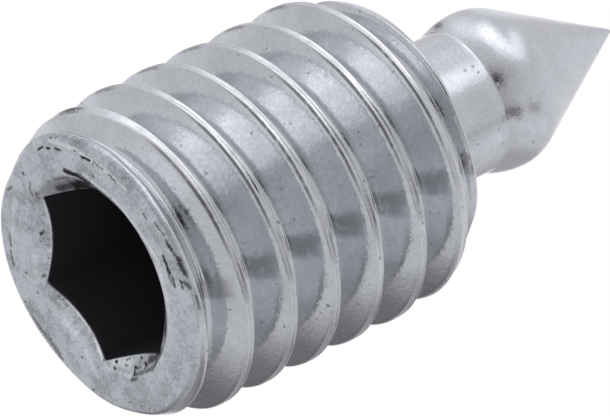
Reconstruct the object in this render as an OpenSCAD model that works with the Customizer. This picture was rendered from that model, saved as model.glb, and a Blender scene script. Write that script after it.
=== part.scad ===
// Socket set screw with a turned neck and a ball that tapers to a cone point.
// It stands on its socket end at Z = 0, with its axis on Z and its point up.
// Two opposite corners of the hexagon lie on the X axis.

/* [Thread] */
// Diameter over the crests
thread_d = 5.96; // [5.7:0.02:6.2]
// Distance from one crest to the next
thread_pitch = 1; // [0.8:0.05:1.2]
// Width of the flat on a crest
crest_flat = 0.15; // [0.1:0.01:0.24]
// Width between two flanks where the rounded root starts
root_flat = 0.18; // [0.1:0.01:0.24]
// Height of the first crest above the socket end, on the +X side
first_crest_z = 0.14; // [0:0.02:0.9]

/* [Threaded body] */
// Length of the threaded body
body_l = 6.72; // [5:0.1:16]
// Diameter of the face at the socket end
socket_face_d = 5.18; // [4.9:0.02:5.4]
// Angle between the axis and the chamfer at the socket end
socket_chamfer_angle = 19; // [15:1:45]
// Diameter of the face at the neck end
neck_face_d = 5.1; // [4.9:0.02:5.4]
// Angle between the axis and the chamfer at the neck end
neck_chamfer_angle = 25; // [15:1:45]
// Width of the small bevel round each face
edge_bevel = 0.08; // [0.03:0.01:0.12]
// Height of the plain collar that the groove leaves at the socket end
socket_collar_h = 0.2; // [0.08:0.01:0.4]
// Height of the plain collar that the groove leaves at the neck end
neck_collar_h = 0.02; // [0:0.01:0.4]
// Angle between the axis and the slope on which the groove climbs to a collar
runout_angle = 45; // [35:1:60]

/* [Hexagon socket] */
// Size across the flats
socket_af = 3.14; // [2.5:0.02:3.2]
// Depth of the flats
socket_depth = 3; // [2:0.1:3.6]
// Distance from the hexagon's corners out to the lip of the countersink
countersink_margin = 0.13; // [0.02:0.01:0.18]
// Included angle of the countersink
countersink_angle = 110; // [90:5:140]
// Included angle of the drilled bottom
drill_angle = 118; // [90:2:140]

/* [Neck, ball and point] */
// Diameter of the neck
neck_d = 2.7; // [2:0.02:2.8]
// Distance from the body to the middle of the ball
ball_reach = 2.38; // [1.9:0.02:4]
// Diameter of the ball
ball_d = 3.02; // [2.9:0.02:4]
// Radius that rounds the ball into the cone
shoulder_r = 0.95; // [0.4:0.05:1.3]
// Included angle of the cone point
point_angle = 58; // [50:1:90]
// Radius of the blunted tip
tip_r = 0.05; // [0.02:0.01:0.2]

/* [Hidden] */
$fn = 96;

// Facets in one turn of the thread
turn_facets = 84;
// Half of the angle between two flanks of a metric thread
flank_angle = 30;
// What is cut reaches this far past the face it is cut from
cut_past = 0.5;
// How far the neck's own cylinder is sunk into the body
neck_sink = 0.5;
// How far the cone starts below the end of its shoulder
cone_sink = 0.1;
// Points of the thread this close to a bevel are drawn onto it
merge_gap = 0.03;

crest_r = thread_d / 2;
flank_depth = (thread_pitch - crest_flat - root_flat) / (2 * tan(flank_angle));
root_round_r = root_flat / (2 * cos(flank_angle));
root_depth = flank_depth + root_round_r * (1 - sin(flank_angle));
flank_mid_z = (crest_flat + thread_pitch - root_flat) / 4;

// One pitch of the thread's outline as [height above the middle of the crest, radius]
outline = [
    [-crest_flat / 2, crest_r],
    [crest_flat / 2, crest_r],
    [flank_mid_z, crest_r - flank_depth / 2],
    [thread_pitch / 2 - root_flat / 2, crest_r - flank_depth],
    [thread_pitch / 2, crest_r - root_depth],
    [thread_pitch / 2 + root_flat / 2, crest_r - flank_depth],
    [thread_pitch - flank_mid_z, crest_r - flank_depth / 2],
];
closed_outline = concat(outline, [[thread_pitch - crest_flat / 2, crest_r]]);

rows_per_turn = len(outline);
first_turn = -ceil(first_crest_z / thread_pitch) - 1;
turns = ceil((body_l - first_crest_z) / thread_pitch) - first_turn + 1;
rows = rows_per_turn * (turns + 1);
rings = 4;
column_points = rings + rows;

socket_corner_r = socket_af / (2 * cos(30));
countersink_r = socket_corner_r + countersink_margin;
ball_r = ball_d / 2;
ball_z = body_l + ball_reach;
cone_angle = point_angle / 2;
shoulder_x = ball_r - shoulder_r;
cone_r = shoulder_x + shoulder_r * cos(cone_angle);
cone_z = ball_z + shoulder_r * sin(cone_angle);
tip_z = cone_z + cone_r / tan(cone_angle) - tip_r / sin(cone_angle);
cone_end_r = tip_r * cos(cone_angle);
cone_end_z = tip_z + tip_r * sin(cone_angle);

// Height of the crest that starts the turns, in column i
function crest_z(i) = first_crest_z + thread_pitch * (first_turn + i / turn_facets);

// Height of row j of the thread's outline, in column i
function row_z(i, j) =
    crest_z(i) + thread_pitch * floor(j / rows_per_turn) + outline[j % rows_per_turn].x;

// Radius of the thread before its ends are cut, in column i at height z
function thread_r(i, z) =
    let (turn_z = z - crest_z(i) + crest_flat / 2)
    lookup(
        turn_z - thread_pitch * floor(turn_z / thread_pitch) - crest_flat / 2,
        closed_outline
    );

// Outer limit at a distance from a face: a small bevel, then the chamfer
function chamfer_r(face_r, distance, angle) =
    face_r + min(distance, edge_bevel + (distance - edge_bevel) * tan(angle));

// Inner limit at a distance from a face: the plain collar, then the groove's way out to it
function runout_r(face_r, distance, collar_h) =
    face_r + edge_bevel - max(0, distance - collar_h) * tan(runout_angle);

// Radius r of the thread at height z, between the limits set by both ends
function cut_r(z, r) =
    min(
        max(
            r,
            runout_r(socket_face_d / 2, z, socket_collar_h),
            runout_r(neck_face_d / 2, body_l - z, neck_collar_h)
        ),
        chamfer_r(socket_face_d / 2, z, socket_chamfer_angle),
        chamfer_r(neck_face_d / 2, body_l - z, neck_chamfer_angle)
    );

// A point of column i at height z, where the thread before cutting has radius r
function surface_point(i, z, r) =
    let (angle = 360 * i / turn_facets, radius = cut_r(z, r))
    [radius * cos(angle), radius * sin(angle), z];

// Ring 0 to 3 at column i: the socket face, its bevel, the neck end's bevel, its face
function ring_z(ring) = [0, edge_bevel, body_l - edge_bevel, body_l][ring];
function ring_id(i, ring) = (i % turn_facets) * column_points + ring;

// Number of the point at row j of column i, or of the bevel's point where the row is past it
function row_id(i, j) =
    i == turn_facets
        ? row_id(0, j + rows_per_turn)
        : row_z(i, j) < ring_z(1) + merge_gap
        ? ring_id(i, 1)
        : row_z(i, j) > ring_z(2) - merge_gap
        ? ring_id(i, 2)
        : i * column_points + rings + j;

// Two triangles between four points, without one that has shrunk to a line
function patch(low, high, next_high, next_low) = [
    for (face = [[low, high, next_high], [low, next_high, next_low]])
        if (face[0] != face[1] && face[1] != face[2] && face[2] != face[0])
            face,
];

// The threaded body as one closed surface, with its points in columns that climb the helix
module threaded_body() {
    columns = [0 : turn_facets - 1];
    points = [
        for (i = columns)
            each concat(
                [for (ring = [0 : rings - 1]) surface_point(i, ring_z(ring), thread_r(i, ring_z(ring)))],
                [for (j = [0 : rows - 1]) surface_point(i, row_z(i, j), outline[j % rows_per_turn].y)]
            ),
        [0, 0, 0],
        [0, 0, body_l],
    ];
    socket_centre = turn_facets * column_points;
    neck_centre = socket_centre + 1;
    thread_faces = [
        for (i = columns, j = [0 : rows - rows_per_turn - 2])
            each patch(row_id(i, j), row_id(i, j + 1), row_id(i + 1, j + 1), row_id(i + 1, j)),
    ];
    bevel_faces = [
        for (i = columns, ring = [0, 2])
            each patch(ring_id(i, ring), ring_id(i, ring + 1), ring_id(i + 1, ring + 1), ring_id(i + 1, ring)),
    ];
    end_faces = [
        for (i = columns)
            each [
                [socket_centre, ring_id(i, 0), ring_id(i + 1, 0)],
                [neck_centre, ring_id(i + 1, 3), ring_id(i, 3)],
            ],
    ];
    polyhedron(points, concat(thread_faces, bevel_faces, end_faces), convexity = 10);
}

// Hexagon with a countersunk mouth and a drilled bottom, as the space it takes
module socket_space() {
    translate([0, 0, -cut_past])
        cylinder(h = cut_past + socket_depth, r = socket_corner_r, $fn = 6);
    translate([0, 0, -cut_past])
        cylinder(
            h = cut_past + countersink_r / tan(countersink_angle / 2),
            r1 = countersink_r + cut_past * tan(countersink_angle / 2),
            r2 = 0
        );
    translate([0, 0, socket_depth])
        cylinder(h = socket_af / 2 / tan(drill_angle / 2), r1 = socket_af / 2, r2 = 0);
}

// Half outline of the ball, its shoulder, the cone and the blunted tip
module point_outline() {
    intersection() {
        translate([0, ball_z]) circle(r = ball_r);
        translate([0, ball_z - ball_d]) square([ball_d, ball_d]);
    }
    intersection() {
        union() {
            translate([shoulder_x, ball_z]) circle(r = shoulder_r);
            translate([0, ball_z - shoulder_r]) square([shoulder_x, 2 * shoulder_r]);
        }
        translate([0, ball_z]) square([ball_d, cone_z - ball_z]);
    }
    polygon([
        [0, cone_z - cone_sink],
        [cone_r, cone_z - cone_sink],
        [cone_r, cone_z],
        [cone_end_r, cone_end_z],
        [0, cone_end_z],
    ]);
    intersection() {
        translate([0, tip_z]) circle(r = tip_r);
        translate([0, cone_end_z]) square([tip_r, tip_r]);
    }
}

module screw() {
    color("lightsteelblue")
        difference() {
            union() {
                threaded_body();
                translate([0, 0, body_l - neck_sink])
                    cylinder(h = neck_sink + ball_reach, d = neck_d);
                rotate_extrude() point_outline();
            }
            socket_space();
        }
}

screw();
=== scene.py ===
"""Dresses a set screw with a hexagon socket, a turned neck, a ball and a cone point.

The screw is one piece of zinc-plated steel. Its surface is made here as one closed mesh:
Geometry Nodes roll the thread, and the socket end and the point end are swept ring by ring
from the thread's two open edges. Sizes are in millimetres and meshes in metres.
"""
import logging
import math
from dataclasses import dataclass, field
from enum import Enum
from typing import Sequence, Union

import bmesh
import bpy
from mathutils import Matrix, Vector


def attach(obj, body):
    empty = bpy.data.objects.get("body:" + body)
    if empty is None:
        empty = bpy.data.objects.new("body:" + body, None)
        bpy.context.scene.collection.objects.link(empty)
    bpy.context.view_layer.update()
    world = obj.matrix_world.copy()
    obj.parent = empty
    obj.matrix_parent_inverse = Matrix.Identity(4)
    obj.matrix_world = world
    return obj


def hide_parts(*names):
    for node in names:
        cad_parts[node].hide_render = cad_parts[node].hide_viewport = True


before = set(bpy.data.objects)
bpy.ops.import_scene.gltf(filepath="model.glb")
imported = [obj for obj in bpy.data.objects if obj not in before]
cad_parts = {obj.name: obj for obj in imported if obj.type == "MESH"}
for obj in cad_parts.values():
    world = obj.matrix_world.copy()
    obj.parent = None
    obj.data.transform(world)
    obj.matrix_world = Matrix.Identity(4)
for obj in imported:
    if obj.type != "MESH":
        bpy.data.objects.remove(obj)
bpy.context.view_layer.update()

LOG = logging.getLogger("set_screw")
MM = 0.001
Tree = bpy.types.NodeTree
Socket = bpy.types.NodeSocket
Number = Union["Rule", float]
Input = Union[Socket, "Rule", bpy.types.Material, Vector, Sequence[float], float]
Colour = tuple[float, float, float]
Pair = tuple[float, float]
Place = Union[Pair, tuple[float, float, float]]
Edge = list[bmesh.types.BMVert]
WHITE: Colour = (1.0, 1.0, 1.0)

# What a noise gives in the middle of its range
NOISE_MIDDLE = 0.5

# Seeds of the noises in the finishes
BLOTCH_SEED, GRAIN_SEED, CROWD_SEED, BREAK_SEED = 1.0, 2.0, 5.0, 6.0

# Numbers of the Mix node's two colour inputs and of its colour output
MIX_FIRST, MIX_SECOND, MIX_RESULT = 6, 7, 2

# Shares of a mark's width at which it starts to fade and at which it has gone
MARK_FADE = (0.2, 1.1)

# The same along a band on the crests, and across it
BAND_FADE_ALONG = (0.6, 1.3)
BAND_FADE_ACROSS = (0.4, 1.0)

# Directions in degrees of the points that round an edge
EDGE_STEPS = (18, 36, 54, 72, 90)

# Number of reaches past which a knock moves nothing
KNOCK_END = 2.5


class Zone(Enum):
    """The parts of the screw's surface that were finished in different ways."""

    THREAD = 0
    FACE = 1
    # The socket's colour: unplated steel, darkened further with painted shade of the deep recess
    SOCKET = 2
    POINT = 3


class Rule:
    """A number that nodes work out, in Geometry Nodes, in a material or in the world."""

    def __init__(self, socket: Socket) -> None:
        """Wraps one output socket.

        Args:
            socket: The output that gives the number.
        """
        self.tree: Tree = socket.id_data
        self.socket = socket

    def apply(self, operation: str, *others: Number) -> "Rule":
        """Adds one Math node.

        Args:
            operation: The Math node's operation.
            others: What goes into its second and third inputs.

        Returns:
            The node's result.
        """
        node = add_node(self.tree, "ShaderNodeMath", dict(enumerate((self, *others))), operation=operation)
        return Rule(node.outputs[0])

    def __add__(self, other: Number) -> "Rule":
        """Sum."""
        return self.apply("ADD", other)

    def __sub__(self, other: Number) -> "Rule":
        """Difference."""
        return self.apply("SUBTRACT", other)

    def __rsub__(self, other: float) -> "Rule":
        """Difference from a plain number."""
        return self.apply("MULTIPLY_ADD", -1.0, other)

    def __mul__(self, other: Number) -> "Rule":
        """Product."""
        return self.apply("MULTIPLY", other)

    def __truediv__(self, other: Number) -> "Rule":
        """Quotient."""
        return self.apply("DIVIDE", other)

    __radd__ = __add__
    __rmul__ = __mul__

    def least(self, other: Number, soft: float = 0.0) -> "Rule":
        """The smaller of two numbers, with the corner rounded over the length soft."""
        return self.apply("SMOOTH_MIN", other, soft) if soft else self.apply("MINIMUM", other)

    def most(self, other: Number, soft: float = 0.0) -> "Rule":
        """The larger of two numbers, with the corner rounded over the length soft."""
        return self.apply("SMOOTH_MAX", other, soft) if soft else self.apply("MAXIMUM", other)

    def between(self, low: Number, high: Number) -> "Rule":
        """The number held between two limits."""
        return self.most(low).least(high)

    def centred(self) -> "Rule":
        """A noise moved down so that the middle of its range is 0."""
        return self - NOISE_MIDDLE

    def step(self, start: float, end: float) -> "Rule":
        """A smooth step from 0 at start to 1 at end, where end is the larger."""
        inputs = {"Value": self, "From Min": start, "From Max": end}
        node = add_node(self.tree, "ShaderNodeMapRange", inputs, interpolation_type="SMOOTHSTEP")
        return Rule(node.outputs[0])


def add_node(tree: Tree, kind: str, inputs: dict[Union[str, int], Input], **settings: str) -> bpy.types.Node:
    """Adds a node.

    Args:
        tree: The tree that gets the node.
        kind: The node's type.
        inputs: What goes into its inputs, by their names or numbers.
        settings: The node's own settings.

    Returns:
        The node.
    """
    node = tree.nodes.new(kind)
    for name, value in settings.items():
        setattr(node, name, value)
    for key, value in inputs.items():
        if isinstance(value, Rule):
            value = value.socket
        if isinstance(value, Socket):
            tree.links.new(value, node.inputs[key])
        else:
            node.inputs[key].default_value = value
    return node


def join(values: Sequence[Rule]) -> Socket:
    """Joins three numbers to one vector.

    Args:
        values: The vector's X, Y and Z.

    Returns:
        The vector's output socket.
    """
    return add_node(values[0].tree, "ShaderNodeCombineXYZ", dict(enumerate(values))).outputs[0]


def noise(vector: Socket, size: float, detail: float, seed: Number) -> Rule:
    """Adds a noise texture.

    Args:
        vector: The place that it reads, in millimetres.
        size: The size of its largest patches in millimetres.
        detail: How many finer octaves lie on them.
        seed: A number that picks one of many patterns.

    Returns:
        The noise, from about 0 to about 1.
    """
    inputs = {"Vector": vector, "Scale": 1.0 / size, "Detail": detail, "W": seed}
    return Rule(add_node(vector.id_data, "ShaderNodeTexNoise", inputs, noise_dimensions="4D").outputs[0])


def vector_math(
    operation: str, first: Socket, second: Union[Socket, Vector, None] = None, output: str = "Vector"
) -> Socket:
    """Adds one Vector Math node.

    Args:
        operation: The node's operation.
        first: What goes into its first input.
        second: What goes into its second input, if it has one.
        output: The name of the output that is wanted.

    Returns:
        That output.
    """
    inputs = {0: first} if second is None else {0: first, 1: second}
    return add_node(first.id_data, "ShaderNodeVectorMath", inputs, operation=operation).outputs[output]


def steady(tree: Tree, value: float) -> Rule:
    """Adds a Value node.

    Args:
        tree: The tree that it is added to.
        value: Its value.

    Returns:
        The value.
    """
    node = tree.nodes.new("ShaderNodeValue")
    node.outputs[0].default_value = value
    return Rule(node.outputs[0])


def blend(share: Rule, first: Union[Socket, Colour], second: Colour) -> Socket:
    """Mixes two colours.

    Args:
        share: How much of the second colour there is.
        first: The first colour.
        second: The second colour.

    Returns:
        The mixed colour's output socket.
    """
    start = first if isinstance(first, Socket) else (*first, 1.0)
    inputs = {0: share, MIX_FIRST: start, MIX_SECOND: (*second, 1.0)}
    return add_node(share.tree, "ShaderNodeMix", inputs, data_type="RGBA").outputs[MIX_RESULT]


def ragged(place: Socket, size: float, shift: float) -> Socket:
    """Moves a place by a fine noise, so that what is drawn there gets ragged edges.

    Args:
        place: The place on the screw in millimetres.
        size: The size of the noise's patches in millimetres.
        shift: The span of the move in millimetres.

    Returns:
        The moved place.
    """
    warp = add_node(place.id_data, "ShaderNodeTexNoise", {"Vector": place, "Scale": 1 / size})
    move = vector_math("SUBTRACT", warp.outputs["Color"], Vector((NOISE_MIDDLE,) * 3))
    scaled = vector_math("MULTIPLY", move, Vector((shift,) * 3))
    return vector_math("ADD", place, scaled)


def new_material(name: str) -> tuple[bpy.types.Material, Tree, bpy.types.Node]:
    """Makes a material.

    Args:
        name: Its name.

    Returns:
        The material, its tree and its shader.
    """
    made = bpy.data.materials.new(name)
    made.use_nodes = True
    return made, made.node_tree, made.node_tree.nodes["Principled BSDF"]


@dataclass
class Thread:
    """The rolled thread, made by Geometry Nodes as a surface with open ends."""

    crest_d: float = 5.96
    pitch: float = 1.0
    crest_flat: float = 0.15
    root_depth: float = 0.66
    root_round: float = 0.07
    crest_round: float = 0.04
    first_crest: float = 0.14
    length: float = 6.72
    socket_bevel: float = 0.14
    neck_bevel: float = 0.08
    socket_face_d: float = 5.12
    neck_face_d: float = 5.1
    socket_chamfer: float = 19.0
    neck_chamfer: float = 25.0
    socket_collar: float = 0.2
    neck_collar: float = 0.02
    runout: float = 45.0
    seam_depth: float = 0.022
    seam_width: float = 0.024
    seam_offset: float = 0.015
    seam_wander: float = 0.096
    seam_fade: Pair = (0.3, 0.6)
    seam_faintest: float = 0.4
    unevenness: float = 0.024
    swell_size: float = 0.7
    wander_size: float = 1.6
    fade_size: float = 1.1
    floor_round: float = 0.1
    socket_roof_round: float = 0.05
    neck_roof_round: float = 0.1
    weld_gap: float = 0.001
    turns_before: int = 2
    seed: float = 3.0
    columns: int = 378
    rows_per_turn: int = 26
    crowding: float = 0.62
    flank_angle: float = 30.0

    def inputs(self) -> dict[str, float]:
        """The named sizes that the node tree takes, in millimetres."""
        return {
            "Crest diameter": self.crest_d,
            "Pitch": self.pitch,
            "Crest flat": self.crest_flat,
            "Root depth": self.root_depth,
            "First crest": self.first_crest,
            "Length": self.length,
            "Socket bevel": self.socket_bevel,
            "Neck bevel": self.neck_bevel,
            "Socket face radius": self.socket_face_d / 2,
            "Neck face radius": self.neck_face_d / 2,
            "Socket collar": self.socket_collar,
            "Neck collar": self.neck_collar,
            "Seam depth": self.seam_depth,
            "Unevenness": self.unevenness,
            "Seed": self.seed,
        }

    def build_tree(self, finish: bpy.types.Material) -> tuple[Tree, dict[str, str]]:
        """Builds the tree that rolls the thread.

        Args:
            finish: The material set on the thread.

        Returns:
            The tree, and the identifier of each named input.
        """
        tree = bpy.data.node_groups.new("rolled_thread", "GeometryNodeTree")
        names = {}
        for name in self.inputs():
            item = tree.interface.new_socket(name, in_out="INPUT", socket_type="NodeSocketFloat")
            names[name] = item.identifier
        tree.interface.new_socket("Geometry", in_out="OUTPUT", socket_type="NodeSocketGeometry")
        given = tree.nodes.new("NodeGroupInput")
        size = {name: Rule(given.outputs[name]) for name in names}

        turns = math.ceil(self.length / self.pitch) + 2 * self.turns_before
        rows = self.rows_per_turn * turns + 1
        counts = {"Size X": self.columns, "Size Y": rows - 1, "Vertices X": self.columns + 1, "Vertices Y": rows}
        grid = add_node(tree, "GeometryNodeMeshGrid", counts)
        where = tree.nodes.new("GeometryNodeInputPosition")
        split = add_node(tree, "ShaderNodeSeparateXYZ", {0: where.outputs[0]})
        column = (Rule(split.outputs[0]) + self.columns / 2).apply("ROUND")
        row = (Rule(split.outputs[1]) + (rows - 1) / 2).apply("ROUND")

        turn = column / self.columns
        even = row / self.rows_per_turn
        crowded = even - (even * math.tau).apply("SINE") * (self.crowding / math.tau)
        free_z = size["First crest"] + size["Pitch"] * (turn + crowded - self.turns_before)
        z = free_z.between(size["Socket bevel"], size["Length"] - size["Neck bevel"])
        phase = (z - size["First crest"]) / size["Pitch"] - turn
        aside = (phase - phase.apply("ROUND")) * size["Pitch"]
        angle = turn * math.tau
        cosine, sine = angle.apply("COSINE"), angle.apply("SINE")
        crest_r = size["Crest diameter"] * 0.5
        on_crest = join((crest_r * cosine, crest_r * sine, z - aside))
        radius = self.thread_radius(size, aside, on_crest)
        radius = self.cut_ends(size, radius, z)
        place = join((radius * cosine * MM, radius * sine * MM, z * MM))
        self.finish_tree(grid, place, finish)
        return tree, names

    def thread_radius(self, size: dict[str, Rule], aside: Rule, on_crest: Socket) -> Rule:
        """The radius of the endless thread.

        Args:
            size: The tree's named sizes.
            aside: Signed distance along the axis from the middle of the nearest crest.
            on_crest: The place on the nearest crest, which the unevenness reads.

        Returns:
            The radius, with uneven crests, a wandering seam along each crest and round roots.
        """
        seed = size["Seed"]
        swell = noise(on_crest, self.swell_size, 2.0, seed).centred() * size["Unevenness"]
        wander = noise(on_crest, self.wander_size, 1.0, seed + 1.0).centred() * self.seam_wander
        strength = noise(on_crest, self.fade_size, 1.0, seed + 2.0).step(*self.seam_fade) + self.seam_faintest
        crest = size["Crest diameter"] * 0.5
        off_crest = aside.apply("ABSOLUTE")
        flank = crest - (off_crest - size["Crest flat"] * 0.5) / math.tan(math.radians(self.flank_angle))
        root = crest - size["Root depth"]
        across = (aside - wander - self.seam_offset) / self.seam_width
        seam = (across.apply("POWER", 2.0) + 1.0).apply("POWER", -2.0)
        top = crest + swell - seam * strength * size["Seam depth"]
        return flank.most(root, self.root_round).least(top, self.crest_round)

    def cut_ends(self, size: dict[str, Rule], radius: Rule, z: Rule) -> Rule:
        """Chamfers both ends of the thread and lets its groove climb out to a collar.

        Args:
            size: The tree's named sizes.
            radius: The endless thread's radius.
            z: Height above the socket end.

        Returns:
            The radius between the limits that the two ends set.
        """
        climb = math.tan(math.radians(self.runout))
        socket_slope = math.tan(math.radians(self.socket_chamfer))
        neck_slope = math.tan(math.radians(self.neck_chamfer))
        beyond = size["Length"] - z
        socket_rim = size["Socket face radius"] + size["Socket bevel"]
        neck_rim = size["Neck face radius"] + size["Neck bevel"]
        socket_floor = socket_rim - (z - size["Socket collar"]).most(0.0) * climb
        neck_floor = neck_rim - (beyond - size["Neck collar"]).most(0.0) * climb
        socket_roof = socket_rim + (z - size["Socket bevel"]) * socket_slope
        neck_roof = neck_rim + (beyond - size["Neck bevel"]) * neck_slope
        climbed = radius.most(socket_floor, self.floor_round).most(neck_floor, self.floor_round)
        return climbed.least(socket_roof, self.socket_roof_round).least(neck_roof, self.neck_roof_round)

    def finish_tree(self, grid: bpy.types.Node, place: Socket, finish: bpy.types.Material) -> None:
        """Places the grid's points, welds its seam and ends the tree.

        Args:
            grid: The node that makes the grid.
            place: The output that gives each point's place.
            finish: The material set on the thread.
        """
        tree = place.id_data
        move = add_node(tree, "GeometryNodeSetPosition", {"Geometry": grid.outputs["Mesh"], "Position": place})
        near = {"Geometry": move.outputs[0], "Distance": self.weld_gap * MM}
        weld = add_node(tree, "GeometryNodeMergeByDistance", near)
        realize = add_node(tree, "GeometryNodeRealizeInstances", {"Geometry": weld.outputs[0]})
        paint = add_node(tree, "GeometryNodeSetMaterial", {"Geometry": realize.outputs[0], "Material": finish})
        add_node(tree, "NodeGroupOutput", {0: paint.outputs[0]})

    def make_mesh(self, finish: bpy.types.Material) -> bpy.types.Mesh:
        """Runs the tree and returns its result as a plain mesh.

        Args:
            finish: The material set on the thread.

        Returns:
            The thread's surface, open at both ends.
        """
        tree, names = self.build_tree(finish)
        holder = bpy.data.objects.new("thread_maker", bpy.data.meshes.new("thread_maker"))
        bpy.context.scene.collection.objects.link(holder)
        roll = holder.modifiers.new("roll", "NODES")
        roll.node_group = tree
        for name, value in self.inputs().items():
            roll[names[name]] = value
        graph = bpy.context.evaluated_depsgraph_get()
        mesh = bpy.data.meshes.new_from_object(holder.evaluated_get(graph))
        holder.modifiers.remove(roll)
        bpy.data.objects.remove(holder)
        return mesh


@dataclass
class Ring:
    """One closed row of points round the axis, with a radius and a height for each column."""

    radii: Sequence[float]
    heights: Sequence[float]


def round_ring(columns: int, radius: float, height: float) -> Ring:
    """A plain circle."""
    return Ring([radius] * columns, [height] * columns)


def arc(centre: Pair, radius: float, start: float, end: float, steps: int) -> list[Pair]:
    """Points of an arc in the half plane through the axis.

    Args:
        centre: The arc's centre as (distance from the axis, height).
        radius: The arc's radius.
        start: Angle of the first point in degrees, from outwards towards up.
        end: Angle of the last point in degrees.
        steps: The number of steps between them.

    Returns:
        The points as (distance from the axis, height), both ends included.
    """
    points = []
    for step in range(steps + 1):
        angle = math.radians(start + (end - start) * step / steps)
        points.append((centre[0] + radius * math.cos(angle), centre[1] + radius * math.sin(angle)))
    return points


@dataclass
class Sweeper:
    """Adds rings to a mesh, each joined to the one before."""

    mesh: bmesh.types.BMesh
    columns: int

    def open_edge(self, top: bool) -> Edge:
        """Finds one open edge of the thread.

        Args:
            top: Whether the upper edge is wanted.

        Returns:
            Its points, one for each column, in order round the axis.
        """
        middle = sum(v.co.z for v in self.mesh.verts) / len(self.mesh.verts)
        rim = {v for e in self.mesh.edges if e.is_boundary for v in e.verts if (v.co.z > middle) == top}
        ordered = sorted(rim, key=lambda v: math.atan2(v.co.y, v.co.x) % math.tau)
        first = min(range(len(ordered)), key=lambda i: abs(math.atan2(ordered[i].co.y, ordered[i].co.x)))
        if len(ordered) != self.columns:
            raise ValueError(f"the thread's edge has {len(ordered)} points and not {self.columns}")
        return ordered[first:] + ordered[:first]

    def add(self, edge: Edge, ring: Ring, zone: Zone) -> Edge:
        """Adds one ring.

        Args:
            edge: The points that it is joined to.
            ring: The ring's radii and heights.
            zone: The zone of the faces between the two.

        Returns:
            The ring's own points.
        """
        made = []
        for i in range(self.columns):
            angle = math.tau * i / self.columns
            radius = ring.radii[i] * MM
            made.append(
                self.mesh.verts.new((radius * math.cos(angle), radius * math.sin(angle), ring.heights[i] * MM))
            )
        for i in range(self.columns):
            after = (i + 1) % self.columns
            face = self.mesh.faces.new((edge[i], edge[after], made[after], made[i]))
            face.material_index = zone.value
        return made

    def close(self, edge: Edge, height: float, zone: Zone) -> None:
        """Closes a ring to one point on the axis.

        Args:
            edge: The last ring's points.
            height: The height of the point.
            zone: The zone of the faces.
        """
        pole = self.mesh.verts.new((0.0, 0.0, height * MM))
        for i in range(self.columns):
            face = self.mesh.faces.new((edge[i], edge[(i + 1) % self.columns], pole))
            face.material_index = zone.value


@dataclass
class SocketEnd:
    """The face at the socket end, the countersunk mouth and the hexagon with its drilled bottom."""

    face_r: float = 2.56
    bevel: float = 0.14
    across_flats: float = 3.14
    depth: float = 3.0
    margin: float = 0.13
    countersink: float = 55.0
    drill: float = 59.0
    corner_cut: float = 0.01
    corner_soft: float = 0.015
    lip_round: float = 0.03
    worn_edge: float = 0.04
    worn_rings: Sequence[Pair] = ((0.1, 0.05), (0.0, 0.3), (0.0, 1.0))
    drill_gap: float = 0.01
    face_rings: Sequence[float] = (0.15, 0.35, 0.55, 0.75, 0.9, 1.0)
    mouth_rings: Sequence[float] = (0.0, 0.25, 0.5, 0.75, 0.93)
    wall_rings: Sequence[float] = (0.04, 0.12, 0.25, 0.45, 0.7, 1.0)
    drill_rings: Sequence[float] = (1.0, 0.6, 0.2)

    @property
    def corner_r(self) -> float:
        """Radius of the circle through the hexagon's corners."""
        return self.across_flats / 2 / math.cos(math.radians(30))

    @property
    def lip_r(self) -> float:
        """Radius of the countersink where it meets the face."""
        return self.corner_r + self.margin

    def hexagon_radius(self, angle: float) -> float:
        """Distance from the axis to the hexagon's wall.

        Args:
            angle: Direction in degrees, where corners lie at multiples of 60.

        Returns:
            The distance, slightly shorter in the corners, which a broach leaves round.
        """
        wall = self.across_flats / 2 / math.cos(math.radians(angle % 60 - 30))
        soft, limit = self.corner_soft, self.corner_r - self.corner_cut
        return wall if wall < limit - soft else limit - soft * math.exp((limit - soft - wall) / soft)

    def sweep(self, sweeper: Sweeper) -> None:
        """Adds this end to the mesh.

        Args:
            sweeper: The mesh and its columns.
        """
        count = sweeper.columns
        edge = sweeper.open_edge(top=False)
        rim_r = [math.hypot(v.co.x, v.co.y) / MM for v in edge]
        for step in EDGE_STEPS:
            out, up = math.cos(math.radians(step)), 1 - math.sin(math.radians(step))
            radii = [self.face_r + (r - self.face_r) * out for r in rim_r]
            edge = sweeper.add(edge, Ring(radii, [self.bevel * up] * count), Zone.FACE)
        inner = self.lip_r + self.lip_round
        for share in self.face_rings:
            radius = self.face_r + (inner - self.face_r) * share
            edge = sweeper.add(edge, round_ring(count, radius, 0.0), Zone.FACE)
        walls = [self.hexagon_radius(360 * i / count) for i in range(count)]
        slope = math.tan(math.radians(self.countersink))
        outer = self.lip_r - self.lip_round
        for share in self.mouth_rings:
            radii = [outer + (wall - outer) * share for wall in walls]
            edge = sweeper.add(edge, Ring(radii, [(self.lip_r - r) / slope for r in radii]), Zone.FACE)
        mouth = [(self.lip_r - wall) / slope for wall in walls]
        for inset, drop in self.worn_rings:
            radii = [wall + inset * self.worn_edge for wall in walls]
            edge = sweeper.add(edge, Ring(radii, [z + drop * self.worn_edge for z in mouth]), Zone.FACE)
        for share in self.wall_rings:
            heights = [z + self.worn_edge + (self.depth - z - self.worn_edge) * share for z in mouth]
            edge = sweeper.add(edge, Ring(walls, heights), Zone.SOCKET)
        drill_r = self.across_flats / 2 - self.drill_gap
        for share in self.drill_rings:
            height = self.depth + drill_r * (1 - share) / math.tan(math.radians(self.drill))
            edge = sweeper.add(edge, round_ring(count, drill_r * share, height), Zone.SOCKET)
        sweeper.close(edge, self.depth + drill_r / math.tan(math.radians(self.drill)), Zone.SOCKET)


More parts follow.
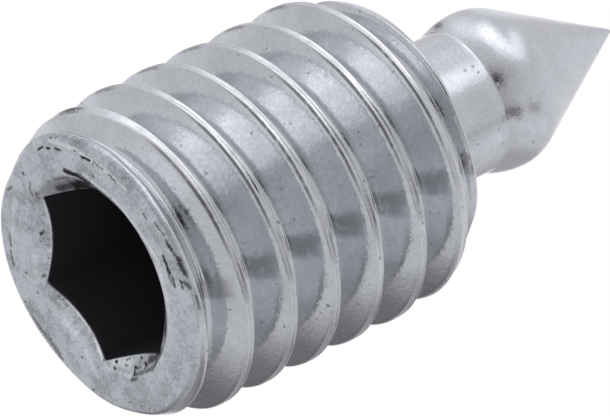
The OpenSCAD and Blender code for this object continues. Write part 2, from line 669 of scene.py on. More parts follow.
@dataclass
class PointEnd:
    """The face at the neck end, the neck, the ball and the cone point."""

    body_l: float = 6.72
    bevel: float = 0.08
    neck_d: float = 2.7
    neck_fillet: float = 0.18
    ball_z: float = 9.1
    ball_d: float = 3.02
    shoulder_r: float = 0.95
    cone_angle: float = 29.0
    tip_r: float = 0.05
    crease: float = 0.03
    crease_step: Pair = (0.002, 0.006)
    ball_start: float = 0.8
    tip_end: float = 80.0
    fillet_steps: int = 5
    ball_steps: int = 18
    shoulder_steps: int = 10
    tip_steps: int = 4
    face_rings: Sequence[float] = (0.2, 0.5, 0.8)
    neck_rings: Sequence[float] = (0.15, 0.35, 0.55, 0.75, 0.92)
    cone_rings: Sequence[float] = (0.1, 0.25, 0.45, 0.65, 0.85, 0.95)

    def outline(self) -> list[Pair]:
        """The outline from the neck's root to the tip, as (distance from the axis, height)."""
        neck_r, ball_r = self.neck_d / 2, self.ball_d / 2
        fillet = self.neck_fillet
        join_angle = -math.degrees(math.acos(neck_r / ball_r))
        join_z = self.ball_z + ball_r * math.sin(math.radians(join_angle))
        shoulder_x = ball_r - self.shoulder_r
        sine, cosine = math.sin(math.radians(self.cone_angle)), math.cos(math.radians(self.cone_angle))
        cone_r = shoulder_x + self.shoulder_r * cosine
        cone_z = self.ball_z + self.shoulder_r * sine
        tip_z = cone_z + cone_r * cosine / sine - self.tip_r / sine
        points = arc((neck_r + fillet, self.body_l + fillet), fillet, 270, 180, self.fillet_steps)
        neck_start = self.body_l + fillet
        crease_z = join_z - self.crease
        for share in self.neck_rings:
            points.append((neck_r, neck_start + (crease_z - neck_start) * share))
        points += [(neck_r, crease_z), (neck_r + self.crease_step[0], join_z - self.crease_step[1])]
        points += arc((0.0, self.ball_z), ball_r, join_angle + self.ball_start, 0, self.ball_steps)
        points += arc((shoulder_x, self.ball_z), self.shoulder_r, 0, self.cone_angle, self.shoulder_steps)[1:]
        for share in self.cone_rings:
            points.append((
                cone_r + (self.tip_r * cosine - cone_r) * share,
                cone_z + (tip_z + self.tip_r * sine - cone_z) * share,
            ))
        points += arc((0.0, tip_z), self.tip_r, self.cone_angle, self.tip_end, self.tip_steps)
        return points

    def sweep(self, sweeper: Sweeper) -> None:
        """Adds this end to the mesh.

        Args:
            sweeper: The mesh and its columns.
        """
        count = sweeper.columns
        edge = sweeper.open_edge(top=True)
        rim_r = [math.hypot(v.co.x, v.co.y) / MM for v in edge]
        for step in EDGE_STEPS:
            out, up = math.cos(math.radians(step)), math.sin(math.radians(step))
            radii = [r - self.bevel * (1 - out) for r in rim_r]
            heights = [self.body_l - self.bevel * (1 - up)] * count
            edge = sweeper.add(edge, Ring(radii, heights), Zone.POINT)
        face_edge = [r - self.bevel for r in rim_r]
        root_r = self.neck_d / 2 + self.neck_fillet
        for share in self.face_rings:
            radii = [r + (root_r - r) * share for r in face_edge]
            edge = sweeper.add(edge, Ring(radii, [self.body_l] * count), Zone.POINT)
        outline = self.outline()
        for radius, height in outline:
            edge = sweeper.add(edge, round_ring(count, radius, height), Zone.POINT)
        last_r, last_z = outline[-1]
        sweeper.close(edge, last_z + last_r ** 2 / (2 * self.tip_r), Zone.POINT)


@dataclass(frozen=True)
class Knock:
    """A dent, a swelling or wear that moves the surface round one place.

    The place is given by its angle round the axis in degrees, its radius and its height, and
    the push by what it adds to the radius and to the height.
    """

    angle: float
    radius: float
    height: float
    push: Pair
    spread: float
    reach: float

    def apply(self, mesh: bmesh.types.BMesh) -> None:
        """Moves the points of the mesh round the place."""
        for point in mesh.verts:
            radius = math.hypot(point.co.x, point.co.y) / MM
            off = math.hypot(radius - self.radius, point.co.z / MM - self.height) / self.reach
            if off > KNOCK_END:
                continue
            angle = math.degrees(math.atan2(point.co.y, point.co.x))
            turn = ((angle - self.angle + 180) % 360 - 180) / self.spread
            share = math.exp(-off * off - turn * turn)
            scale = 1 + self.push[0] * share / radius
            point.co.x *= scale
            point.co.y *= scale
            point.co.z += self.push[1] * share * MM


KNOCKS = (
    Knock(42.0, 2.66, 0.0, (-0.055, 0.0), 14.0, 0.3),
    Knock(76.0, 2.66, 0.0, (-0.055, 0.0), 24.0, 0.3),
    Knock(132.0, 2.66, 0.05, (0.115, 0.0), 30.0, 0.4),
    Knock(175.0, 2.66, 0.0, (-0.075, 0.0), 14.0, 0.3),
    Knock(198.0, 2.8, 0.48, (0.045, 0.0), 14.0, 0.2),
    Knock(212.0, 2.69, 6.5, (0.028, 0.0), 12.0, 0.25),
    Knock(352.0, 2.57, 6.68, (-0.085, -0.02), 14.0, 0.22),
)


@dataclass(frozen=True)
class Mark:
    """A pit, a burr, dirt, a whitish streak, painted shadow or a painted highlight, drawn as a line between two
    places.

    A place without a height lies on the face.
    """

    start: Place
    end: Place
    width: float = 0.03
    strength: float = 1.0

    def mask(self, place: Socket) -> Rule:
        """How much of the mark lies at a place.

        Args:
            place: The place on the screw in millimetres.

        Returns:
            The mark's strength inside it, fading to 0 outside.
        """
        start = Vector(self.start).to_3d()
        span = Vector(self.end).to_3d() - start
        offset = vector_math("SUBTRACT", place, start)
        share = Rule(vector_math("DOT_PRODUCT", offset, span, output="Value"))
        share = (share / max(span.length_squared, self.width ** 2)).between(0.0, 1.0)
        along = add_node(place.id_data, "ShaderNodeVectorMath", {0: span, "Scale": share}, operation="SCALE")
        away = vector_math("SUBTRACT", offset, along.outputs[0])
        gap = Rule(vector_math("LENGTH", away, output="Value")) / self.width
        return (1.0 - gap.step(*MARK_FADE)) * self.strength


# Burrs and pits round the face, and painted shadow in the mouth's countersink and along its lower lip
FACE_MARKS_AND_SHADOW = (
    # Painted shadow in the mouth's countersink
    Mark((-1.62, -0.5, 0.16), (-1.4, -0.94, 0.18), 0.16, 0.85),
    Mark((-1.4, -0.94, 0.18), (-1.2, -1.22, 0.18), 0.22),
    Mark((-1.2, -1.22, 0.16), (-0.86, -1.48, 0.14), 0.22),
    Mark((1.4, -1.05, 0.12), (1.66, -0.55, 0.12), 0.2),
    Mark((1.8, -0.2, 0.06), (1.78, 0.25, 0.08), 0.1, 0.5),
    Mark((-1.72, -0.75, 0.04), (-1.5, -1.15, 0.04), 0.05, 0.6),
    Mark((0.86, -2.48, 0.0), (1.28, -2.35, 0.07), 0.05, 0.85),
    Mark((1.3, -2.33, 0.05), (1.52, -2.21, 0.1), 0.055, 0.8),
    Mark((0.5, -2.55), (0.8, -2.53), 0.03, 0.7),
    Mark((1.7, -2.2, 0.1), (2.0, -1.95, 0.12), 0.035, 0.7),
    Mark((1.5, -2.1), (1.62, -2.02), 0.045, 0.7),
    Mark((0.98, -2.12), (1.25, -1.98), 0.06, 0.9),
    Mark((1.35, -1.96), (1.47, -1.85), 0.06, 0.8),
    Mark((1.59, -2.13, 0.03), (1.71, -2.07, 0.1), 0.06, 0.7),
    Mark((0.3, 1.75, 0.03), (0.36, 1.66, 0.08), 0.05, 0.7),
    Mark((0.45, 1.7, 0.03), (0.5, 1.78, 0.0), 0.03, 0.8),
    Mark((-0.2, 1.7, 0.1), (-0.14, 1.74, 0.08), 0.04, 0.6),
    Mark((1.15, -2.0), (1.38, -1.82), 0.04, 0.8),
    # Painted shadow where the countersink lies in deep shade
    Mark((-1.62, -1.22), (-1.34, -1.46), 0.075),
    Mark((-1.34, -1.46, 0.0), (-1.04, -1.62, 0.02), 0.08),
    Mark((-1.04, -1.62, 0.02), (-0.8, -1.68, 0.05), 0.06, 0.9),
    Mark((-1.36, -0.8, 0.26), (-1.33, -1.2, 0.12), 0.13),
    Mark((-1.33, -1.2, 0.1), (-1.1, -1.48, 0.06), 0.13),
    Mark((-1.35, -1.1, 0.1), (-1.05, -1.5, 0.1), 0.04, 0.6),
    Mark((-1.9, -0.02, 0.0), (-1.72, 0.25, 0.06), 0.06, 0.7),
    Mark((-2.1, 0.02), (-1.95, 0.1), 0.04, 0.6),
    Mark((-0.85, 1.62, 0.15), (-0.35, 1.63, 0.22), 0.035, 0.7),
    Mark((1.7, 0.95), (1.62, 1.1), 0.05, 0.7),
    Mark((-2.0, 1.45), (-1.85, 1.65), 0.035, 0.6),
    Mark((-0.3, 2.42), (0.1, 2.44), 0.035, 0.6),
    Mark((-2.3, -0.95), (-2.25, -1.12), 0.035),
    Mark((-2.16, -1.2), (-2.1, -1.28), 0.035),
    Mark((-2.0, -1.42), (-1.9, -1.5), 0.035),
    Mark((-1.65, -1.84), (-1.6, -1.9), 0.03, 0.6),
    Mark((-1.46, -1.93), (-1.27, -2.08), 0.045),
    Mark((-1.2, -2.15), (-0.95, -2.24), 0.03, 0.8),
    Mark((-0.78, -2.3), (-0.6, -2.34), 0.035, 0.7),
    Mark((0.22, -2.44), (0.3, -2.42), 0.035, 0.7),
    Mark((0.98, -2.5), (1.25, -2.5), 0.04),
    Mark((1.28, -2.42), (1.5, -2.36), 0.035, 0.8),
    Mark((1.5, -2.28), (1.68, -2.2), 0.035, 0.7),
    Mark((1.02, -2.1), (1.18, -2.02), 0.045),
    Mark((1.2, -1.98), (1.45, -1.9), 0.03, 0.6),
    Mark((-2.12, -0.1), (-2.08, 0.02), 0.03, 0.7),
    Mark((-1.86, 0.0), (-1.76, 0.14), 0.035, 0.8),
    Mark((-1.6, 0.02, 0.1), (-1.66, 0.18, 0.1), 0.03, 0.8),
    Mark((-1.5, 0.68, 0.15), (-1.52, 0.86, 0.15), 0.035, 0.9),
    Mark((1.84, 0.0, 0.05), (1.9, 0.4, 0.05), 0.06, 0.8),
    Mark((1.68, 0.5, 0.1), (1.74, 0.78, 0.1), 0.045, 0.8),
    Mark((1.58, 0.82, 0.12), (1.6, 0.96, 0.12), 0.04, 0.8),
    Mark((1.38, 0.76, 0.2), (1.3, 0.92, 0.2), 0.035, 0.7),
    Mark((-1.0, 1.48, 0.1), (-1.34, 1.8, 0.0), 0.03, 0.6),
    Mark((0.92, 1.4, 0.2), (0.86, 1.6, 0.05), 0.035, 0.9),
    Mark((1.22, 1.1, 0.18), (1.25, 1.06, 0.18), 0.045),
    Mark((1.28, 1.16, 0.13), (1.33, 1.1, 0.12), 0.045),
    Mark((1.44, 0.73, 0.21), (1.47, 0.7, 0.2), 0.045),
    Mark((1.49, 0.93, 0.12), (1.52, 0.9, 0.1), 0.045),
    Mark((1.08, 1.36, 0.14), (1.11, 1.33, 0.13), 0.045),
    Mark((1.15, 1.42, 0.08), (1.18, 1.4, 0.07), 0.04, 0.9),
    Mark((1.54, 0.96, 0.08), (1.61, 0.98, 0.04), 0.05),
    # Painted shadow: an arc along the lower lip
    Mark((1.61, 0.96, 0.05), (1.78, 0.6, 0.05), 0.07, 0.5),
    Mark((1.78, 0.6, 0.05), (1.88, 0.27, 0.04), 0.07, 0.6),
    Mark((1.62, 0.62, 0.14), (1.68, 0.58, 0.12), 0.05),
    Mark((1.66, 0.46, 0.16), (1.8, 0.14, 0.09), 0.12, 0.8),
    Mark((1.72, 0.15, 0.13), (1.83, -0.1, 0.07), 0.1, 0.85),
    Mark((0.4, 1.5, 0.1), (0.42, 1.6, 0.1), 0.03, 0.6),
    Mark((-1.82, 1.74), (-1.6, 1.96), 0.03, 0.7),
    Mark((-2.42, 0.46), (-2.46, 0.64), 0.03, 0.7),
    Mark((-0.75, 2.46), (0.2, 2.5), 0.04, 0.6),
    # Painted shadow streaks in the countersink
    Mark((-1.62, -1.28), (-1.34, -1.48), 0.03, 0.9),
    Mark((-1.56, -1.16, 0.1), (-1.2, -1.46, 0.1), 0.03, 0.9),
)

# Whitish streaks and painted highlights: the face's edges, the rim of the hexagon and the mouth
FACE_STREAKS_AND_HIGHLIGHTS = (
    # Painted highlight along the rounded rim of the face
    Mark((-2.2, -1.4), (-1.65, -1.9), 0.07, 0.55),
    Mark((-1.65, -1.9), (-1.0, -2.25), 0.06, 0.6),
    Mark((-1.0, -2.25), (-0.35, -2.45), 0.05, 0.5),
    # Painted highlight along the lip of the countersink, and a whitish patch beyond it
    Mark((-1.25, -1.65), (-0.45, -1.95), 0.05, 0.5),
    Mark((-0.45, -1.95), (0.35, -2.0), 0.05, 0.55),
    Mark((0.35, -2.0), (0.95, -1.9), 0.06, 0.65),
    Mark((0.95, -1.8), (1.45, -1.4), 0.13, 0.5),
    Mark((1.45, -1.4), (1.8, -0.9), 0.06, 0.35),
    # Painted highlight along the hexagon's rim
    Mark((-0.9, 1.57, 0.15), (-0.6, 1.57, 0.25), 0.035, 0.9),
    Mark((-0.6, 1.57, 0.25), (0.35, 1.57, 0.27), 0.04, 0.95),
    Mark((0.35, 1.57, 0.26), (0.85, 1.6, 0.1), 0.05, 0.95),
    Mark((-1.75, 0.1, 0.13), (-1.45, 0.65, 0.3), 0.06, 0.5),
    Mark((-1.4, 0.75, 0.3), (-1.1, 1.2, 0.25), 0.07, 0.45),
    Mark((1.5, 0.55, 0.25), (0.9, 1.55, 0.25), 0.05, 0.4),
    Mark((1.0, 1.6, 0.05), (1.55, 1.1, 0.03), 0.05, 0.35),
    Mark((1.05, 1.4, 0.15), (1.36, 1.06, 0.17), 0.13, 0.5),
    Mark((0.5, 1.8, 0.04), (1.0, 1.9, 0.0), 0.08, 0.3),
    Mark((-0.65, 1.8, 0.02), (0.1, 1.8, 0.1), 0.09, 0.3),
    Mark((-2.25, 0.6), (-1.95, 1.35), 0.08, 0.3),
    Mark((-1.35, 1.3, 0.05), (-1.05, 1.65, 0.0), 0.09, 0.3),
)


@dataclass(frozen=True)
class CrestBand:
    """A band of painted highlight or painted shade along the crests, over a part of each turn."""

    middle_deg: float
    spread_deg: float
    offset: float
    width: float
    strength: float
    # True for a band of painted highlight, False for a band of painted shade
    polished: bool = False

    def mask(self, turn: Rule, aside: Rule) -> Rule:
        """Says how far a place lies in the band.

        Args:
            turn: The place's angle, in turns from the X axis.
            aside: Its signed distance along the axis from the middle of the crest.

        Returns:
            A mask that is the band's strength in its middle.
        """
        past = turn - self.middle_deg / 360.0
        off = (past - past.apply("ROUND")).apply("ABSOLUTE") / (self.spread_deg / 360.0)
        away = (aside - self.offset).apply("ABSOLUTE") / self.width
        return (1.0 - off.step(*BAND_FADE_ALONG)) * (1.0 - away.step(*BAND_FADE_ACROSS)) * self.strength


# Painted light along the crests: lines and bands of painted shade and painted dark reflection, and one band of
# painted highlight
CREST_PAINTED_LIGHT = (
    # Painted shade: a dark line along the socket side of the crests
    CrestBand(276.0, 24.0, -0.068, 0.034, 0.75),
    # Painted highlight along the crests where they face the strip light
    CrestBand(257.0, 23.0, 0.005, 0.08, 1.0, polished=True),
    # Painted dark reflection: a band across the crests and the flanks
    CrestBand(312.0, 10.0, 0.0, 0.09, 0.25),
    CrestBand(315.5, 5.0, -0.32, 0.22, 0.38),
    # Painted shade on the crests' shaded side
    CrestBand(0.0, 24.0, 0.1, 0.06, 0.55),
    CrestBand(8.0, 22.0, 0.0, 0.09, 0.45),
    # Painted shade: a dark line along the socket side of the crests
    CrestBand(207.0, 6.0, -0.085, 0.03, 0.45),
)


@dataclass(frozen=True)
class Pits:
    """Small pits of many sizes, which lie in crowds."""

    strength: float = 0.6
    spacing: float = 0.16
    size: float = 0.035
    edge: float = 0.3
    growth: float = 0.3
    rarity: float = 3.0
    ragged_size: float = 0.0525
    ragged_shift: float = 0.056
    crowd_size: float = 0.9
    crowd_span: Pair = (0.35, 0.65)
    crowd_least: float = 0.5
    crowd_gain: float = 0.7

    def mask(self, place: Socket) -> Rule:
        """Scatters the pits.

        Args:
            place: The place on the screw in millimetres.

        Returns:
            A mask that is 1 in a pit.
        """
        tree = place.id_data
        moved = ragged(place, self.ragged_size, self.ragged_shift)
        cells = add_node(tree, "ShaderNodeTexVoronoi", {"Vector": moved, "Scale": 1 / self.spacing})
        pick = add_node(tree, "ShaderNodeSeparateColor", {0: cells.outputs["Color"]})
        crowd = noise(place, self.crowd_size, 1.0, CROWD_SEED).step(*self.crowd_span)
        crowd = crowd * self.crowd_gain + self.crowd_least
        largest = self.size / self.spacing
        size = Rule(pick.outputs[0]).apply("POWER", self.rarity) * crowd * largest
        gap = (size - Rule(cells.outputs["Distance"])) / (self.edge * largest)
        return (gap + self.growth).between(0.0, 1.0)


@dataclass(frozen=True)
class Steel:
    """A plated or bare steel finish with blotches, fine grain, pits, marks and crest bands, some of which are
    painted shade and painted highlights.
    """

    name: str
    colour: Colour
    stain: Colour
    roughness: float
    blotch: float = 0.12
    blotch_size: float = 0.7
    grain: float = 0.12
    grain_size: float = 0.055
    stained: float = 0.2
    contrast: float = 5.0
    pits: Pits = Pits()
    metal: float = 1.0
    gloss: float = 0.5
    smoothest: float = 0.05
    dirt_and_shade_roughness: float = 0.3
    grime_and_shade: Colour = (0.1, 0.1, 0.11)
    streak_and_highlight_colour: Colour = (0.92, 0.93, 0.95)
    ragged_size: float = 0.05
    ragged_shift: float = 0.08
    bump_depth: float = 0.006
    bump_strength: float = 0.6
    bump_grain: float = 0.8
    bump_blotch: float = 2.0
    break_size: float = 0.16
    break_span: Pair = (0.3, 0.5)
    break_least: float = 0.4
    marks: Sequence[Mark] = ()
    streaks_and_highlights: Sequence[Mark] = ()
    crest_light: Sequence[CrestBand] = ()

    def material(self, thread: Thread) -> bpy.types.Material:
        """Builds the finish as a material that reads Object coordinates.

        Args:
            thread: The thread whose crests are worn.

        Returns:
            The material.
        """
        made, tree, shader = new_material(self.name)
        shader.inputs["Metallic"].default_value = self.metal
        shader.inputs["Specular IOR Level"].default_value = self.gloss
        where = tree.nodes.new("ShaderNodeTexCoord").outputs["Object"]
        place = add_node(tree, "ShaderNodeMapping", {"Vector": where, "Scale": (1 / MM,) * 3}).outputs[0]
        blotches = noise(place, self.blotch_size, 3.0, BLOTCH_SEED).centred()
        grain = noise(place, self.grain_size, 1.5, GRAIN_SEED).centred()
        pits = self.pits.mask(place)
        # Dirt and painted shade darken the colour; whitish streaks and painted highlights lighten it
        dirt_and_shade = self.marks_mask(place, self.marks)
        dirt_and_shade = dirt_and_shade.most(self.crest_light_mask(place, thread, polished=False))
        streak_and_highlight = self.marks_mask(place, self.streaks_and_highlights)
        streak_and_highlight = streak_and_highlight.most(self.crest_light_mask(place, thread, polished=True))
        uneven = blotches * self.blotch + grain * self.grain
        share = (uneven * self.contrast + pits * self.pits.strength + self.stained).between(0.0, 1.0)
        under_dirt_and_shade = blend(streak_and_highlight, blend(share, self.colour, self.stain), self.streak_and_highlight_colour)
        tree.links.new(blend(dirt_and_shade, under_dirt_and_shade, self.grime_and_shade), shader.inputs["Base Color"])
        rough = uneven + self.roughness + (pits + dirt_and_shade) * self.dirt_and_shade_roughness
        tree.links.new(rough.between(self.smoothest, 1.0).socket, shader.inputs["Roughness"])
        relief = grain * self.bump_grain + blotches * self.bump_blotch - pits - dirt_and_shade
        inputs = {"Strength": self.bump_strength, "Distance": self.bump_depth * MM, "Height": relief}
        bump = add_node(tree, "ShaderNodeBump", inputs)
        tree.links.new(bump.outputs[0], shader.inputs["Normal"])
        return made

    def marks_mask(self, place: Socket, marks: Sequence[Mark]) -> Rule:
        """Draws short marks with ragged edges.

        Args:
            place: The place on the screw in millimetres.
            marks: The marks.

        Returns:
            A mask that is the marks' strength where they are.
        """
        moved = ragged(place, self.ragged_size, self.ragged_shift)
        drawn = steady(place.id_data, 0.0)
        for mark in marks:
            drawn = drawn.most(mark.mask(moved))
        return drawn

    def crest_light_mask(self, place: Socket, thread: Thread, polished: bool) -> Rule:
        """Gathers the bands of painted highlight and painted shade along the crests.

        Args:
            place: The place on the screw in millimetres.
            thread: The thread that has the crests.
            polished: Whether the bands wanted are the painted highlights or the painted shade.

        Returns:
            A mask that is 1 where the crest gets painted highlight, or where it gets painted shade.
        """
        split = add_node(place.id_data, "ShaderNodeSeparateXYZ", {0: place})
        x, y, z = (Rule(split.outputs[axis]) for axis in range(3))
        turn = y.apply("ARCTAN2", x) / math.tau
        phase = (z - thread.first_crest) / thread.pitch - turn
        aside = (phase - phase.apply("ROUND")) * thread.pitch
        broken = noise(place, self.break_size, 2.0, BREAK_SEED).step(*self.break_span)
        broken = broken * (1.0 - self.break_least) + self.break_least
        # Bands of painted highlight or of painted shade, broken up by a noise
        crest_paint = steady(place.id_data, 0.0)
        for band in self.crest_light:
            if band.polished == polished:
                crest_paint = crest_paint.most(band.mask(turn, aside) * broken)
        return crest_paint


FINISHES = {
    Zone.THREAD: Steel("plated_thread", (0.692, 0.705, 0.729), (0.326, 0.34, 0.361), 0.12, crest_light=CREST_PAINTED_LIGHT),
    Zone.FACE: Steel(
        "plated_face", (0.625, 0.64, 0.673), (0.193, 0.2, 0.216), 0.4, blotch=0.34, blotch_size=0.4, grain=0.24,
        pits=Pits(1.0, 0.13), grime_and_shade=(0.02, 0.02, 0.023), marks=FACE_MARKS_AND_SHADOW, streaks_and_highlights=FACE_STREAKS_AND_HIGHLIGHTS,
    ),
    # Painted shade: the deep socket is nearly black and not metallic, over its unplated steel
    Zone.SOCKET: Steel("dark_socket_painted_shade", (0.032, 0.033, 0.038), (0.02, 0.02, 0.022), 0.6, metal=0.0, gloss=0.15),
    Zone.POINT: Steel("plated_point", (0.718, 0.73, 0.759), (0.383, 0.395, 0.414), 0.18, pits=Pits(0.4)),
}


@dataclass
class SetScrew:
    """The whole screw: its thread, its two ends and their finishes."""

    thread: Thread = field(default_factory=Thread)
    socket_end: SocketEnd = field(default_factory=SocketEnd)
    point_end: PointEnd = field(default_factory=PointEnd)
    knocks: Sequence[Knock] = KNOCKS

    def build(self) -> bpy.types.Object:
        """Makes the screw as one closed piece.

        Returns:
            The finished object, at the origin.
        """
        finishes = {zone: steel.material(self.thread) for zone, steel in FINISHES.items()}
        mesh = self.thread.make_mesh(finishes[Zone.THREAD])
        work = bmesh.new()
        work.from_mesh(mesh)
        for face in work.faces:
            face.material_index = Zone.THREAD.value
        sweeper = Sweeper(work, self.thread.columns)
        self.socket_end.sweep(sweeper)
        self.point_end.sweep(sweeper)
        for knock in self.knocks:
            knock.apply(work)
        bmesh.ops.recalc_face_normals(work, faces=work.faces)
        for face in work.faces:
            face.smooth = True
        open_edges = sum(1 for e in work.edges if not e.is_manifold)
        mesh.materials.clear()
        for zone in Zone:
            mesh.materials.append(finishes[zone])
        work.to_mesh(mesh)
        work.free()
        mesh.name = "screw_surface"
        screw = bpy.data.objects.new("screw_surface", mesh)
        bpy.context.scene.collection.objects.link(screw)
        LOG.info("screw_surface: %d faces, %d open edges", len(mesh.polygons), open_edges)
        return screw


@dataclass(frozen=True)
class Viewpoint:
    """A long-lens camera, given by its direction and by where the screw lies in the picture."""

    azimuth: float = 20.3
    elevation: float = -31.95
    roll: float = 25.77
    pixels_per_mm: float = 56.53
    focal_px: float = 17000.0
    socket_px: Pair = (96.85, 277.45)
    picture: tuple[int, int] = (610, 416)
    sensor: float = 36.0
    clip: Pair = (0.01, 1.0)

    def axes(self) -> tuple[Vector, Vector, Vector]:
        """The picture's right, its up and the direction to the camera."""
        azimuth, elevation = math.radians(self.azimuth), math.radians(self.elevation)
        back = Vector((
            math.sin(azimuth) * math.cos(elevation),
            -math.cos(azimuth) * math.cos(elevation),
            math.sin(elevation),
        ))
        along = Vector((0.0, 0.0, 1.0))
        along = (along - back * along.dot(back)).normalized()
        across = back.cross(along)
        roll = math.radians(self.roll)
        right = along * math.cos(roll) - across * math.sin(roll)
        up = along * math.sin(roll) + across * math.cos(roll)
        return right, up, back

    def place_camera(self) -> None:
        """Makes the camera and sets it as the scene's."""
        right, up, back = self.axes()
        distance = self.focal_px / self.pixels_per_mm
        aside = (self.picture[0] / 2 - self.socket_px[0]) / self.pixels_per_mm
        above = (self.socket_px[1] - self.picture[1] / 2) / self.pixels_per_mm
        data = bpy.data.cameras.new("camera")
        data.sensor_width = self.sensor
        data.lens = self.sensor * self.focal_px / self.picture[0]
        data.clip_start, data.clip_end = self.clip
        camera = bpy.data.objects.new("camera", data)
        camera.location = (right * aside + up * above + back * distance) * MM
        camera.rotation_mode = "QUATERNION"
        turn = [[right[i], up[i], back[i]] for i in range(3)]
        camera.rotation_quaternion = Matrix(turn).to_quaternion()
        bpy.context.scene.collection.objects.link(camera)
        bpy.context.scene.camera = camera


@dataclass(frozen=True)
class Panel:
    """A card or a soft box, placed by where a mirror ball at the screw would show it.

    The ball's own radius is 1. The soft widths are those of the left, right, lower and upper
    edges, and the turn is in degrees.
    """

    name: str
    centre: Pair
    half: Pair
    soft: tuple[float, float, float, float]
    level: float
    turn: float = 0.0

    def glow(self, across: Rule, above: Rule) -> Rule:
        """What the panel adds to the light.

        Args:
            across: Place on the ball to the right of its middle.
            above: Place on the ball above its middle.

        Returns:
            The panel's level inside it and 0 outside.
        """
        cosine, sine = math.cos(math.radians(self.turn)), math.sin(math.radians(self.turn))
        off_x, off_y = across - self.centre[0], above - self.centre[1]
        side = off_x * cosine + off_y * sine
        rise = off_y * cosine - off_x * sine
        left, right, lower, upper = self.soft
        width, height = self.half
        inside = side.step(-width - left / 2, -width + left / 2)
        inside = inside * (1.0 - side.step(width - right / 2, width + right / 2))
        inside = inside * rise.step(-height - lower / 2, -height + lower / 2)
        inside = inside * (1.0 - rise.step(height - upper / 2, height + upper / 2))
        return inside * self.level


PANELS = (
    Panel("strip light", (0.1, 0.59), (0.21, 0.055), (0.25, 0.2, 0.19, 0.15), 1.1, -42.0),
    Panel("strip light's glow", (-0.16, 0.7), (0.26, 0.1), (0.3, 0.3, 0.2, 0.2), 0.38, -12.0),
    Panel("ceiling", (0.37, 0.53), (0.1, 0.17), (0.15, 0.2, 0.1, 0.2), 0.52),
    Panel("far lamp", (0.15, 1.0), (0.3, 0.12), (0.2, 0.3, 0.12, 0.1), 0.2),
    Panel("right wall", (1.0, 0.3), (0.3, 0.75), (0.3, 0.1, 0.3, 0.1), 0.08),
    Panel("left wall", (-0.95, 0.15), (0.12, 0.3), (0.1, 0.1, 0.2, 0.2), 0.15),
    Panel("camera's cloth", (0.08, 0.04), (0.22, 0.26), (0.15, 0.3, 0.2, 0.2), -0.22),
    Panel("dark lens", (0.09, 0.11), (0.08, 0.07), (0.08, 0.1, 0.09, 0.08), -0.55),
    Panel("low lens", (0.31, -0.27), (0.1, 0.06), (0.1, 0.1, 0.09, 0.09), -0.55),
    Panel("tripod", (0.56, -0.215), (0.07, 0.045), (0.08, 0.06, 0.07, 0.07), -0.3),
    Panel("table", (0.0, -0.96), (1.2, 0.25), (0.1, 0.1, 0.1, 0.2), -0.24),
    Panel("table's leg", (-0.42, -0.82), (0.2, 0.12), (0.15, 0.15, 0.1, 0.16), -0.27),
    Panel("stand", (-0.57, 0.77), (0.04, 0.035), (0.06, 0.06, 0.05, 0.05), -0.6),
    Panel("left window", (-0.46, 0.0), (0.1, 0.13), (0.1, 0.08, 0.08, 0.08), 0.15, -35.0),
    Panel("low window", (0.56, -0.42), (0.2, 0.08), (0.14, 0.14, 0.08, 0.08), 0.08),
)


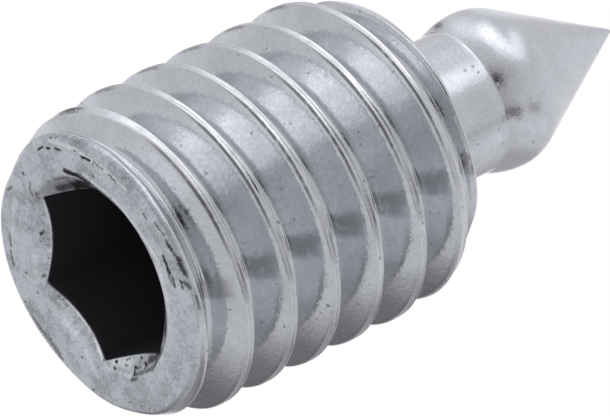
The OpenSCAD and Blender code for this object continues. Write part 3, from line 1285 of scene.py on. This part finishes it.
@dataclass
class Studio:
    """Pale surroundings with panels, a pale floor and a lamp over it."""

    viewpoint: Viewpoint
    tent: float = 0.7
    tint: Colour = (0.99, 0.998, 1.04)
    backdrop_edge: Pair = (0.05, 0.2)
    floor_size: float = 120.0
    floor_grey: float = 0.9
    floor_roughness: float = 0.9
    lamp_power: float = 1.2
    lamp_spread: float = 25.0
    lamp_tilt: Pair = (28.0, -20.0)
    panels: Sequence[Panel] = PANELS

    def build(self) -> None:
        """Sets up the surroundings, the floor and the lamp."""
        self.surroundings()
        self.floor()
        self.lamp()

    def surroundings(self) -> None:
        """Lights the world with the tent and its panels; the backdrop behind the screw is white."""
        world = bpy.data.worlds.new("studio")
        world.use_nodes = True
        bpy.context.scene.world = world
        tree = world.node_tree
        tree.nodes.clear()
        right, up, back = self.viewpoint.axes()
        direction = tree.nodes.new("ShaderNodeTexCoord").outputs["Generated"]
        ball = vector_math("NORMALIZE", vector_math("ADD", direction, back))
        across, above, towards = (
            Rule(vector_math("DOT_PRODUCT", ball, axis, output="Value")) for axis in (right, up, back)
        )
        light = steady(tree, self.tent)
        for panel in self.panels:
            light = light + panel.glow(across, above)
        path = tree.nodes.new("ShaderNodeLightPath")
        mirrored = Rule(path.outputs["Is Glossy Ray"]).most(Rule(path.outputs["Is Transmission Ray"]))
        behind = mirrored * (1.0 - towards.step(*self.backdrop_edge))
        white = Rule(path.outputs["Is Camera Ray"]).most(behind)
        strength = light.most(0.0) * (1.0 - white) + white
        colour = blend(white, self.tint, WHITE)
        glow = add_node(tree, "ShaderNodeBackground", {"Color": colour, "Strength": strength})
        add_node(tree, "ShaderNodeOutputWorld", {0: glow.outputs[0]})

    def floor(self) -> None:
        """A pale floor under the screw, seen only from above."""
        half = self.floor_size / 2 * MM
        mesh = bpy.data.meshes.new("floor")
        corners = [(-half, -half, 0), (half, -half, 0), (half, half, 0), (-half, half, 0)]
        mesh.from_pydata(corners, [], [(0, 1, 2, 3)])
        floor = bpy.data.objects.new("floor", mesh)
        bpy.context.scene.collection.objects.link(floor)
        paint, tree, shader = new_material("floor")
        shader.inputs["Base Color"].default_value = (*(self.floor_grey,) * 3, 1.0)
        shader.inputs["Roughness"].default_value = self.floor_roughness
        clear = tree.nodes.new("ShaderNodeBsdfTransparent")
        side = tree.nodes.new("ShaderNodeNewGeometry")
        inputs = {0: side.outputs["Backfacing"], 1: shader.outputs[0], 2: clear.outputs[0]}
        mix = add_node(tree, "ShaderNodeMixShader", inputs)
        tree.links.new(mix.outputs[0], tree.nodes["Material Output"].inputs[0])
        mesh.materials.append(paint)
        floor.visible_glossy = False
        floor.visible_diffuse = False
        floor.visible_shadow = False

    def lamp(self) -> None:
        """A soft lamp above, which gives the screw its shadow on the floor."""
        data = bpy.data.lights.new("overhead", "SUN")
        data.energy = self.lamp_power
        data.angle = math.radians(self.lamp_spread)
        lamp = bpy.data.objects.new("overhead", data)
        lamp.rotation_euler = (*(math.radians(turn) for turn in self.lamp_tilt), 0.0)
        lamp.visible_glossy = False
        bpy.context.scene.collection.objects.link(lamp)


def main() -> None:
    """Builds the screw, the camera and the studio."""
    logging.basicConfig(level=logging.INFO, format="%(name)s: %(message)s")
    viewpoint = Viewpoint()
    viewpoint.place_camera()
    screw = SetScrew().build()
    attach(screw, "root")
    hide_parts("screw")
    Studio(viewpoint).build()
    bpy.context.scene.view_settings.view_transform = "Standard"


if __name__ == "__main__":
    main()
